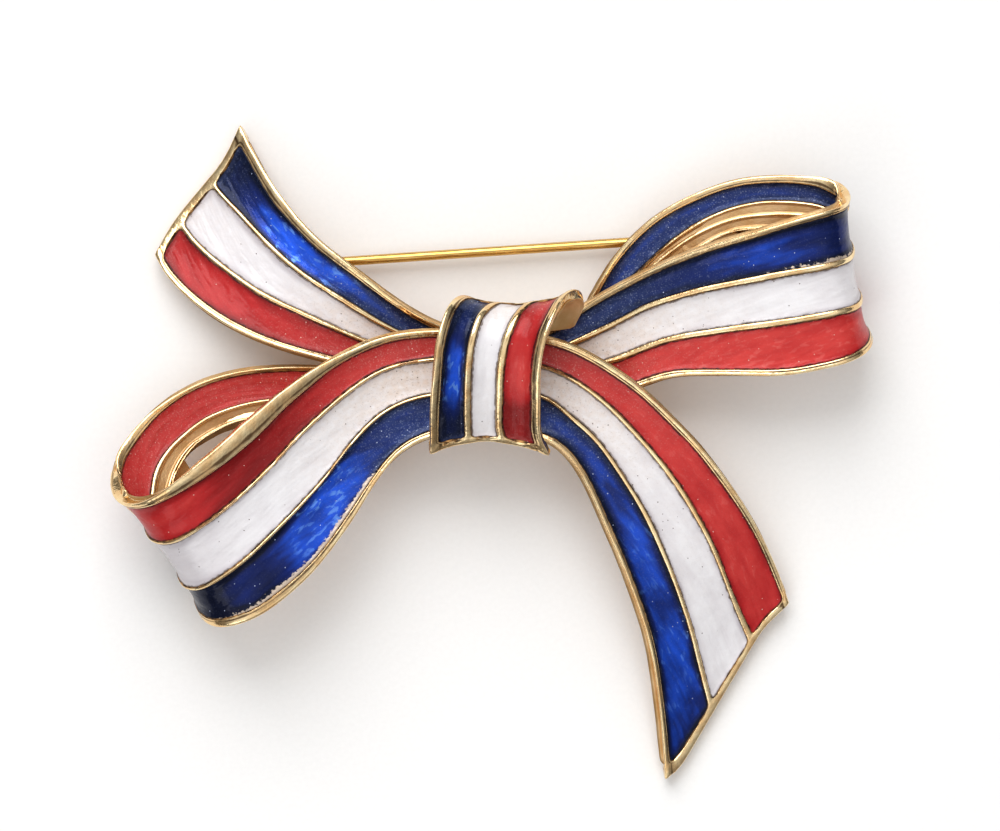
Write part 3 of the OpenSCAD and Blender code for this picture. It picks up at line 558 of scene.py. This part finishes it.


# Kiln-fired glass enamel: lumpy and glossy, with painted shade darker towards its walls, painted highlights and
# glints, bubbles, dust and flow lines.
def makeEnamel(colourName):
    look = enamelLooks[colourName]
    material, tree = newMaterial("glass enamel, " + colourName)
    here = addNode(tree, "ShaderNodeTexCoord").outputs["Object"]
    along = addNode(tree, "ShaderNodeUVMap").outputs["UV"]
    wall, dust, glow, crumbsAndPaintedSheen = [addNode(tree, "ShaderNodeAttribute", attribute_name=key).outputs["Fac"]
                               for key in ("wall", "dust", "glow", "crumbsAndPaintedSheen")]
    clouds, curds, grit, crumbs = [
        addNode(tree, "ShaderNodeTexNoise", {
            "Vector": here, "Scale": 1 / (enamelBody[key] * mm), "Detail": detail}).outputs["Fac"]
        for key, detail in (("clouds", 3), ("curds", 4), ("grit", 2), ("crumbs", 3))]
    flow, ragged = [
        addNode(tree, "ShaderNodeTexNoise", {
            "Vector": addNode(tree, "ShaderNodeMapping", {
                "Vector": along, "Scale": enamelBody[key]}).outputs["Vector"],
            "Scale": 1, "Detail": detail, "Distortion": distortion}).outputs["Fac"]
        for key, detail, distortion in (("flow", 2, 0.15), ("glintRun", 4, 0.5))]

    # painted highlight: broad bright patches where glow is high, and painted shade where glow is low and towards the
    # walls
    uneven = addNode(tree, "ShaderNodeMath", {0: clouds, 1: flow}).outputs[0]
    patchy = addNode(tree, "ShaderNodeMapRange", {
        "Value": uneven, "From Min": 0.75, "From Max": 1.25, "To Min": 0.65, "To Max": 1.2}).outputs["Result"]
    patches = addNode(tree, "ShaderNodeMath", {0: glow, 1: patchy}, operation="MULTIPLY").outputs[0]
    stroked = addNode(tree, "ShaderNodeMath", {0: flow, 1: 0.4, 2: patches}, operation="MULTIPLY_ADD").outputs[0]
    paintedWallShade = addNode(tree, "ShaderNodeMath", {0: wall, 1: 2}, operation="POWER").outputs[0]
    lit = addNode(tree, "ShaderNodeMath", {
        0: paintedWallShade, 1: -look["shade"], 2: stroked}, operation="MULTIPLY_ADD").outputs[0]
    # the ramp runs from painted shade ("deep") through the enamel's own colour ("body") to painted highlight
    # ("bright")
    body = addNode(tree, "ShaderNodeValToRGB", {"Fac": lit}, [
        (0.02, linear(look["deep"])), (0.95, linear(look["bright"])), (0.4, linear(look["body"]))]).outputs["Color"]

    # ragged painted glints: bright streaks that run with the ribbon, only inside the painted highlight patches
    streaks = addNode(tree, "ShaderNodeMapRange", {
        "Value": ragged, "From Min": 0.55, "From Max": 0.65}).outputs["Result"]
    inPatch = addNode(tree, "ShaderNodeMapRange", {
        "Value": patches, "From Min": 0.4, "From Max": 0.75, "To Max": look["glints"]}).outputs["Result"]
    paintedGlints = addNode(tree, "ShaderNodeMath", {0: streaks, 1: inPatch}, operation="MULTIPLY").outputs[0]

    # dust under the glaze near the knot, with pale grit in it
    thickness = addNode(tree, "ShaderNodeMapRange", {
        "Value": curds, "From Min": 0.3, "From Max": 0.7, "To Min": 0.35, "To Max": 1}).outputs["Result"]
    film = addNode(tree, "ShaderNodeMath", {0: dust, 1: thickness}, operation="MULTIPLY").outputs[0]
    grains = addNode(tree, "ShaderNodeMapRange", {
        "Value": grit, "From Min": 0.58, "From Max": 0.68, "To Max": 0.45}).outputs["Result"]
    gritty = addNode(tree, "ShaderNodeMath", {0: grains, 1: film}, operation="MULTIPLY").outputs[0]

    # burst bubbles of 0.1 mm, one in ten cells where the glaze is clean and four in ten where it is dusty
    bubbles = addNode(tree, "ShaderNodeTexVoronoi", {"Vector": here, "Scale": 1 / (enamelBody["bubbles"] * mm)})
    chosen = addNode(tree, "ShaderNodeSeparateColor", {"Color": bubbles.outputs["Color"]}).outputs[0]
    share = addNode(tree, "ShaderNodeMath", {0: dust, 1: 0.3, 2: 0.1}, operation="MULTIPLY_ADD").outputs[0]
    few = addNode(tree, "ShaderNodeMath", {0: chosen, 1: share}, operation="LESS_THAN").outputs[0]
    dots = addNode(tree, "ShaderNodeMapRange", {
        "Value": bubbles.outputs["Distance"], "From Min": 0.08, "From Max": 0.15, "To Min": 1, "To Max": 0
    }).outputs["Result"]
    specks = addNode(tree, "ShaderNodeMath", {0: few, 1: dots}, operation="MULTIPLY").outputs[0]

    # a ragged dark line where the enamel meets the metal: the joint, and a painted shadow of the rim over it
    frayed = addNode(tree, "ShaderNodeMath", {0: curds, 1: 0.3, 2: wall}, operation="MULTIPLY_ADD").outputs[0]
    jointAndPaintedShadow = addNode(tree, "ShaderNodeMapRange", {
        "Value": frayed, "From Min": 1.05, "From Max": 1.14, "To Max": 0.9}).outputs["Result"]

    # crumbs of pale ground left bare along one edge, with a painted highlight on the meniscus there
    crumbsAndPaintedSheenLevel = addNode(tree, "ShaderNodeMath", {0: crumbs, 1: 1.2, 2: crumbsAndPaintedSheen}, operation="MULTIPLY_ADD").outputs[0]
    crumbsAndPaintedSheenMask = addNode(tree, "ShaderNodeMapRange", {
        "Value": crumbsAndPaintedSheenLevel, "From Min": 1.02, "From Max": 1.16, "To Max": 0.8}).outputs["Result"]

    # each of these lies over the one before it
    colour = body
    for amount, over in ((paintedGlints, look["glint"]), (film, look["dust"]), (gritty, look["speck"]),
                         (specks, look["speck"]), (jointAndPaintedShadow, look["edge"]), (crumbsAndPaintedSheenMask, enamelBody["crumbAndSheenColour"])):
        colour = addNode(tree, "ShaderNodeMix", {0: amount, 6: colour, 7: linear(over)}, data_type="RGBA").outputs[2]

    relief = {}
    for height, depth, sunken in ((clouds, "lumpDepth", False), (flow, "flowDepth", False),
                                  (curds, "skinDepth", False), (specks, "pitDepth", True)):
        bump = addNode(tree, "ShaderNodeBump", {
            "Height": height, "Distance": enamelBody[depth] * mm, "Strength": 1, **relief}, invert=sunken)
        relief = {"Normal": bump.outputs["Normal"]}
    rough = addNode(tree, "ShaderNodeMapRange", {
        "Value": film, "To Min": look["roughness"], "To Max": enamelBody["dustyRoughness"]}).outputs["Result"]
    shader = addNode(tree, "ShaderNodeBsdfPrincipled", {
        "Base Color": colour, "Metallic": look["metallic"], "Roughness": rough,
        "Specular IOR Level": look["specular"], "Coat Weight": look["coat"],
        "Coat Roughness": look["coatRoughness"], "Coat Normal": relief["Normal"], **relief})
    addNode(tree, "ShaderNodeOutputMaterial", {"Surface": shader.outputs["BSDF"]})
    return material


goldPlate = makeGoldPlate()
goldRecessTarnishAndShade, goldCast, pinWire = [makeDullGold(dullGolds[key]) for key in ("recess", "cast", "wire")]
enamels = {name: makeEnamel(name) for name in enamelLooks}
print("materials ready")

rails = {name: makeRail(shape) for name, shape in ribbons.items()}


# Height of a rim or divider's top. A rim slopes to its outer edge and has a groove beside the enamel; crests waver.
def crestAt(shape, station, v, last):
    part, t = int(v), v - int(v)
    if part % 2 and t > 0:
        return 0
    spot = Vector((station["s"] / (casting["rippleLength"] * mm), 2.3 * part, shape["seed"]))
    ripple = noise.noise(spot) * casting["ripple"] * mm if t > 0 else 0
    if part == 0 or part >= last - 1:
        fromOutside = t if part == 0 else last - v
        return lookUp(casting["crownShares"], fromOutside) * casting["crown"] * mm + ripple
    return casting["dividerCrown"] * mm + casting["dividerRipple"] * ripple if t > 0 else 0


def makeRibbon(name):
    shape, rail = ribbons[name], rails[name]
    ends = cellEnds(shape, rail)
    corner = casting["corner"] * mm
    stops = {lengthAtRow(rail, shape.get("start", 0)), rail["length"]}
    for s0, s1 in ends:
        for share in casting["cornerShares"]:
            stops |= {s0 + corner * share, s1 - corner * share}
    stations = [stationAt(shape, rail, s) for s in spread(sorted(stops), casting["step"] * mm)]
    parts = len(stations[0]["marks"]) - 1
    steps = []
    for part in range(parts):
        kind = "cellShares" if part % 2 else "rimShares" if part in (0, parts - 1) else "dividerShares"
        steps += [part + share for share in casting[kind]]
    steps.append(parts)
    columns = [lambda station, v=v: (acrossAt(station, v), crestAt(shape, station, v, parts)) for v in steps]
    piece = layGrid(name, shape, stations, columns)
    # the column of each rim that lies lowest, beside the enamel, gathers brown: tarnish and painted shade
    grooves = (casting["rimShares"][-1], parts - 1 + casting["rimShares"][1])
    groove = piece.data.attributes.new("groove", "FLOAT", "POINT")
    for i in range(len(stations) * len(steps)):
        groove.data[i].value = steps[i % len(steps)] in grooves
    # the strips' second cells are shallow and hold no enamel, and where one is too narrow it stays solid
    wide = len(columns) - 1
    enamelled, bare = set(), set()
    for j, (st0, st1) in enumerate(zip(stations, stations[1:])):
        s = (st0["s"] + st1["s"]) / 2
        if any(s0 < s < s1 for s0, s1 in ends):
            for i in range(wide):
                part = int((steps[i] + steps[i + 1]) / 2)
                roomy = st0["marks"][part + 1] - st0["marks"][part] > casting["narrow"] * mm
                if part % 2 and part > 1 and "bare" in shape and roomy:
                    bare.add(j * wide + i)
                elif part % 2 and (part == 1 or "bare" not in shape):
                    enamelled.add(j * wide + i)
    faces = len(piece.data.polygons)
    applied(piece, "SOLIDIFY", thickness=shape["thick"] * mm, offset=-1)
    for face in piece.data.polygons:
        back = faces <= face.index < 2 * faces
        face.material_index = 1 if face.index in enamelled else 2 if back or face.index in bare else 0
    pickFaces(piece, lambda face: face.index in enamelled)
    bpy.ops.mesh.inset(thickness=casting["wallLean"] * mm, depth=-shape["deep"] * mm)
    if bare:
        bpy.ops.object.mode_set(mode="OBJECT")
        pickFaces(piece, lambda face: face.index in bare)
        bpy.ops.mesh.inset(thickness=casting["bareLean"] * mm, depth=-shape["bare"] * mm)
    # the back stays as cast: hidden here, so that only the front and the outline are rounded
    bpy.ops.object.mode_set(mode="OBJECT")
    pickFaces(piece, lambda face: face.material_index == 2)
    bpy.ops.mesh.hide()
    roundSharpEdges(casting["roundedBy"], casting["sharp"])
    bpy.ops.object.mode_set(mode="EDIT")
    bpy.ops.mesh.reveal(select=False)
    bpy.ops.object.mode_set(mode="OBJECT")
    return finished(piece, "brooch", "gold", ["bow_frame"], goldPlate, goldRecessTarnishAndShade, goldCast)


for ribbonName in ribbons:
    made = makeRibbon(ribbonName)
    print("ribbon", ribbonName, len(made.data.polygons), "faces")

# The enamel in its cells, in mm: "drop" is how far it lies below the metal, "below" its thickness, "hidden" what the
# leaning walls cover, "meniscus" and "bowl" how far it climbs at its sides, and the reaches how far from a wall
# the meniscus, the dark line of joint and painted shadow, the painted shade at the walls, and the bare crumbs with
# their painted highlight go. Columns lie at these shares of the way across.
filling = {"drop": 0.3, "below": 0.25, "hidden": 0.08, "meniscus": 0.1, "meniscusReach": 0.13, "bowl": 0.1,
           "lump": 0.03, "lumpWidth": 1.1, "lumpLength": 1.8, "wallReach": 0.8, "crumbsAndPaintedSheenReach": 0.6, "step": 0.4,
           "shares": (0, 0.04, 0.1, 0.2, 0.35, 0.5, 0.65, 0.8, 0.9, 0.96, 1)}

# Pieces, the CAD nodes that they stand for, their ribbon, which cells along it, and the colours in order from edge a.
stripeGroups = [
    ["leftLoop", "left_loop_", "frontRibbon", 1, ("red", "white", "blue")],
    ["rightTail", "right_tail_", "frontRibbon", 0, ("red", "white", "blue")],
    ["leftTail", "left_tail_", "backRibbon", 0, ("blue", "white", "red")],
    ["rightLoop", "right_loop_", "backRibbon", 1, ("blue", "white", "red")],
    ["knot", "knot_", "knotBand", 0, ("blue", "white", "red")],
    ["leftLoopInner", "left_loop_inner_", "leftInnerStrip", 0, ("red", )],
    ["rightLoopInner", "right_loop_inner_", "rightInnerStrip", 0, ("blue", )],
]


def makeStripe(name, node, ribbonName, cell, k, colourName):
    shape, rail = ribbons[ribbonName], rails[ribbonName]
    s0, s1 = cellEnds(shape, rail)[cell]
    corner = casting["corner"] * mm
    stops = {s0 + corner * share for share in casting["cornerShares"]}
    stops |= {s1 - corner * share for share in casting["cornerShares"]}
    stations = [stationAt(shape, rail, s) for s in spread(sorted(stops), filling["step"] * mm)]
    shares = filling["shares"]

    def toWall(station, x):
        x0, x1 = station["marks"][2 * k + 1:2 * k + 3]
        return max(0, min(x - x0, x1 - x, station["s"] - s0, s1 - station["s"]) - filling["hidden"] * mm)

    def column(station, share):
        x0, x1 = station["marks"][2 * k + 1:2 * k + 3]
        x = x0 + (x1 - x0) * share
        rise = filling["meniscus"] * math.exp(-toWall(station, x) / (filling["meniscusReach"] * mm))
        rise += filling["bowl"] * (2 * share - 1) ** 2
        spot = Vector((x / (filling["lumpWidth"] * mm), station["s"] / (filling["lumpLength"] * mm),
                       shape["seed"] + 5 * k))
        return x, (rise - filling["drop"] + noise.noise(spot) * filling["lump"]) * mm

    columns = [lambda station, share=share: column(station, share) for share in shares]
    piece = layGrid(name, shape, stations, columns)
    layerNames = ("wall", "dust", "glow", "crumbsAndPaintedSheen")
    for key in layerNames:
        piece.data.attributes.new(key, "FLOAT", "POINT")
    layers = {key: piece.data.attributes[key] for key in layerNames}
    crumbsAndPaintedSheenRows = shape.get("crumbsAndPaintedSheen", {}).get(colourName, [[0, 0], [1, 0]])
    for j, station in enumerate(stations):
        x0, x1 = station["marks"][2 * k + 1:2 * k + 3]
        row = station["row"]
        for i, share in enumerate(shares, start=j * len(shares)):
            toFar = (1 - share) * (x1 - x0) / mm
            layers["crumbsAndPaintedSheen"].data[i].value = lookUp(crumbsAndPaintedSheenRows, row) * max(0, 1 - toFar / filling["crumbsAndPaintedSheenReach"])
            inside = toWall(station, x0 + (x1 - x0) * share)
            layers["wall"].data[i].value = max(0, 1 - inside / (filling["wallReach"] * mm))
            layers["dust"].data[i].value = lookUp(shape["dust"], row)
            # glow by row: where the painted highlight and the painted shade lie on the enamel
            layers["glow"].data[i].value = lookUp(shape["glow"][colourName], row)
    applied(piece, "SOLIDIFY", thickness=filling["below"] * mm, offset=-1)
    return finished(piece, "brooch", "enamel_" + colourName, [node], enamels[colourName])


for group, node, ribbonName, cell, colours in stripeGroups:
    for k, colourName in enumerate(colours):
        makeStripe(group + colourName.capitalize(), node + colourName, ribbonName, cell, k, colourName)
print(sum(len(group[-1]) for group in stripeGroups), "stripes of enamel laid")

# The lump of the casting behind the knot, where the ribbons cross: shares of the bow, then its unevenness in mm.
coreSize = {"centre": (-0.006, 0.1175, 0.385), "size": (0.066, 0.155, 0.27), "lump": 0.12, "lumpLength": 1.7}


def makeCore():
    scale = (bow["width"], bow["height"], bow["depth"])
    bpy.ops.object.select_all(action="DESELECT")
    bpy.ops.mesh.primitive_cube_add(size=1, location=[c * k for c, k in zip(coreSize["centre"], scale)],
                                    scale=[c * k for c, k in zip(coreSize["size"], scale)])
    piece = justAdded("knotCore")
    bpy.ops.object.transform_apply(location=True, rotation=True, scale=True)
    bpy.ops.object.mode_set(mode="EDIT")
    bpy.ops.mesh.select_all(action="SELECT")
    bpy.ops.mesh.subdivide(number_cuts=2)
    bpy.ops.mesh.vertices_smooth(factor=0.5, repeat=2)
    bpy.ops.object.mode_set(mode="OBJECT")
    applied(piece, "SUBSURF", levels=3, render_levels=3)
    for vertex in piece.data.vertices:
        lump = noise.noise(vertex.co / (coreSize["lumpLength"] * mm))
        vertex.co += vertex.normal * lump * coreSize["lump"] * mm
    return finished(piece, "brooch", "gold", ["bow_frame"], goldCast)


makeCore()

# Where the pin's hinge and catch sit, in shares of the bow, and in mm the wire's level and what is over its eye.
pinSizes = {"hinge": (-0.247, 0.286), "catch": (0.317, 0.3305), "level": 1.3, "eye": 1.5, "room": 0.3,
            "sheet": 0.4, "gap": 0.06}
hingeAt, catchAt = [Vector((pinSizes[key][0] * bow["width"], pinSizes[key][1] * bow["height"], 0))
                    for key in ("hinge", "catch")]
pinTurn = math.atan2(catchAt.y - hingeAt.y, catchAt.x - hingeAt.x)
padLevel = (pinSizes["level"] + pinSizes["eye"] / 2 + pinSizes["room"] + pinSizes["sheet"] + pinSizes["gap"]) * mm

# The hinge pad's corners on the back ribbon, as rows and shares across it, and how deep in it they sit, in mm.
hingePad = {"corners": ((2.6, 0.08), (2.6, 0.5), (3.6, 0.5), (3.6, 0.08)), "inside": 0.75, "rounded": 0.2}


def makeHingePad():
    shape, rail = ribbons["backRibbon"], rails["backRibbon"]
    corners = []
    for row, share in hingePad["corners"]:
        station = stationAt(shape, rail, lengthAtRow(rail, row))
        corners.append(placeAt(shape, station, share * station["width"], -hingePad["inside"] * mm))
    bpy.ops.object.select_all(action="DESELECT")
    bpy.ops.mesh.primitive_cube_add(size=1)
    piece = justAdded("hingePad")
    order = {(False, True): 0, (False, False): 1, (True, False): 2, (True, True): 3}
    for vertex in piece.data.vertices:
        top = corners[order[vertex.co.x > 0, vertex.co.y > 0]]
        vertex.co = top if vertex.co.z > 0 else Vector((top.x, top.y, padLevel))
    applied(piece, "BEVEL", width=hingePad["rounded"] * mm, segments=3)
    return finished(piece, "brooch", "gold", ["bow_frame"], goldCast)


# An oval boss over the catch, in mm along and across the pin, and its top as a share of the bow's depth.
catchPad = {"long": 6, "wide": 2.6, "along": -1.5, "across": -0.806, "top": 0.265, "rounded": 0.18}


def makeCatchPad():
    tall = catchPad["top"] * bow["depth"] - padLevel
    bpy.ops.object.select_all(action="DESELECT")
    bpy.ops.mesh.primitive_cylinder_add(vertices=64, radius=0.5, depth=1)
    piece = justAdded("catchPad")
    bpy.ops.object.mode_set(mode="EDIT")
    bpy.ops.mesh.select_all(action="SELECT")
    bpy.ops.transform.resize(value=(catchPad["long"] * mm, catchPad["wide"] * mm, tall))
    bpy.ops.transform.translate(value=(catchPad["along"] * mm, catchPad["across"] * mm, padLevel + tall / 2))
    bpy.ops.object.mode_set(mode="OBJECT")
    piece.location = catchAt
    piece.rotation_euler = (0, 0, pinTurn)
    bpy.ops.object.transform_apply(location=True, rotation=True, scale=True)
    applied(piece, "BEVEL", width=catchPad["rounded"] * mm, segments=3, limit_method="ANGLE")
    return finished(piece, "brooch", "gold", ["bow_frame"], goldCast)


makeHingePad()
makeCatchPad()

# CAD node, piece, body, slot, how far its corners are eased in mm, material.
hardware = [
    ["hinge_bracket", "hingeBracket", "brooch", "gold", 0.05, goldPlate],
    ["hinge_rivet", "hingeRivet", "brooch", "gold", 0.04, goldPlate],
    ["catch", "catchHook", "brooch", "gold", 0.05, goldPlate],
    ["pin_stem", "pinStem", "pin", "pin_metal", 0, pinWire],
]
# The CAD's own solid, its loose triangles merged and its corners eased as a file leaves them.
easing = {"merge": 0.0005, "flat": 1, "sharp": 40, "smooth": 35}  # mm, then degrees


def makeHardware(node, name, body, slot, eased, material):
    piece = bpy.data.objects.new(name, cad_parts[node].data.copy())
    bpy.context.collection.objects.link(piece)
    piece.data.name = name
    piece.data.materials.clear()
    choose(piece)
    bpy.ops.object.mode_set(mode="EDIT")
    bpy.ops.mesh.select_all(action="SELECT")
    bpy.ops.mesh.remove_doubles(threshold=easing["merge"] * mm)
    bpy.ops.mesh.dissolve_limited(angle_limit=math.radians(easing["flat"]))
    bpy.ops.mesh.select_all(action="DESELECT")
    bpy.ops.object.mode_set(mode="OBJECT")
    if eased:
        applied(piece, "BEVEL", width=eased * mm, segments=2, limit_method="ANGLE",
                angle_limit=math.radians(easing["sharp"]))
    finished(piece, body, slot, [node], material)
    bpy.ops.object.shade_smooth_by_angle(angle=math.radians(easing["smooth"]))


for item in hardware:
    makeHardware(*item)
print("pin, hinge and catch ready")

# Pale card floor, with its fibres in mm and its side in metres, and a room bright overhead, from below to above.
# Then the lights, with place and size in metres and power in watts: a soft box high on the far side and
# a small one low on the near side.
studio = {
    "card": "#fdfcfb", "fibre": "#faf9f8", "fibreSize": 0.4, "side": 3, "sunk": 0.01,
    "room": [[0, 0.08], [0.5, 0.32], [0.78, 0.65], [0.9, 1.05], [0.965, 0.95], [1, 0.5]],
    "lights": [["keyLight", (-0.25, 0.95, 0.95), 1.1, 14], ["lowLight", (-0.5, -0.8, 0.7), 0.6, 1.5]],
}


# Uncoated card: matt, with fibres that hardly show.
def makeFloor():
    bpy.ops.object.select_all(action="DESELECT")
    bpy.ops.mesh.primitive_plane_add(size=studio["side"], location=(0, 0, -studio["sunk"] * mm))
    floor = bpy.context.active_object
    floor.name = "studioFloor"
    material, tree = newMaterial("matt white card")
    here = addNode(tree, "ShaderNodeTexCoord").outputs["Object"]
    fibres = addNode(tree, "ShaderNodeTexNoise", {
        "Vector": here, "Scale": 1 / (studio["fibreSize"] * mm), "Detail": 2}).outputs["Fac"]
    colour = addNode(tree, "ShaderNodeValToRGB", {"Fac": fibres}, [
        (0.3, linear(studio["fibre"])), (0.7, linear(studio["card"]))]).outputs["Color"]
    shader = addNode(tree, "ShaderNodeBsdfPrincipled", {"Base Color": colour, "Roughness": 0.9})
    addNode(tree, "ShaderNodeOutputMaterial", {"Surface": shader.outputs["BSDF"]})
    floor.data.materials.append(material)


def makeRoom():
    world = bpy.data.worlds.new("studioRoom")
    world.use_nodes = True
    sky = world.node_tree
    sky.nodes.clear()
    around = addNode(sky, "ShaderNodeTexCoord").outputs["Generated"]
    height = addNode(sky, "ShaderNodeSeparateXYZ", {0: around}).outputs[2]
    steps = [(place, (value, value, value, 1)) for place, value in studio["room"]]
    bright = addNode(sky, "ShaderNodeValToRGB", {"Fac": height}, [steps[0], steps[-1]] + steps[1:-1])
    glow = addNode(sky, "ShaderNodeBackground", {"Color": bright.outputs["Color"], "Strength": 1})
    addNode(sky, "ShaderNodeOutputWorld", {"Surface": glow.outputs["Background"]})
    bpy.context.scene.world = world
    for name, place, size, power in studio["lights"]:
        bpy.ops.object.light_add(type="AREA", location=place)
        lamp = bpy.context.active_object
        lamp.name = name
        lamp.data.size, lamp.data.energy = size, power
        lamp.rotation_euler = (-Vector(place)).to_track_quat("-Z", "Y").to_euler()


makeFloor()
makeRoom()

# The photograph looks straight down on the brooch through a long lens, and 12 of its pixels are 1 mm.
# In mm: where the camera stands, and the width of the frame at "mid" above the floor.
camera = {"x": 0.71, "y": 3.04, "away": 1000, "frame": 83.33, "mid": 8, "sensor": 36}


def makeCamera():
    place = [camera[key] * mm for key in ("x", "y", "away")]
    bpy.ops.object.camera_add(location=place, rotation=(0, 0, 0))
    eye = bpy.context.active_object
    eye.name = "photoCamera"
    eye.data.sensor_width = camera["sensor"]
    eye.data.lens = camera["sensor"] * (camera["away"] - camera["mid"]) / camera["frame"]
    bpy.context.scene.camera = eye


makeCamera()
bpy.context.scene.view_settings.view_transform = "Standard"
print("studio and camera ready")
